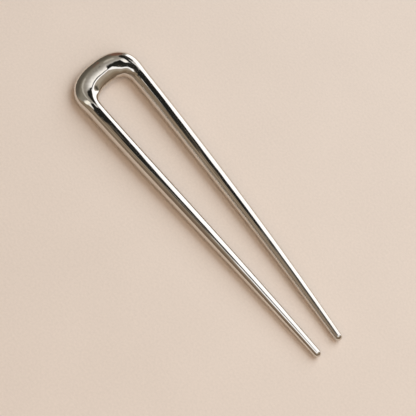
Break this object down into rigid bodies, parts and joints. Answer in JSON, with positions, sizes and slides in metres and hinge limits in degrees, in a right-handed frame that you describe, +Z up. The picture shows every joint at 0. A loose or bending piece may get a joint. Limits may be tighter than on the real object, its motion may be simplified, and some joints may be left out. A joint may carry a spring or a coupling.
{
  "type": "french hair pin",
  "caption": "Two-pronged U-shaped metal hair pin with a broad rounded crown and long tapering prongs with blunt rounded tips.",
  "frame": {"origin": "centre of the pin's bounding box, on the surface that the pin lies on", "axes": "+X from the crown towards the tips, +Y across the prongs, +Z up from the surface that the pin lies on"},
  "size_m": [0.1101, 0.0238, 0.0051],
  "materials": {
    "polished_silver_metal": "polished cast metal with a bright silver-tone plating"
  },
  "bodies": {
    "root": {"hair_pin": "polished_silver_metal"}
  },
  "joints": []
}
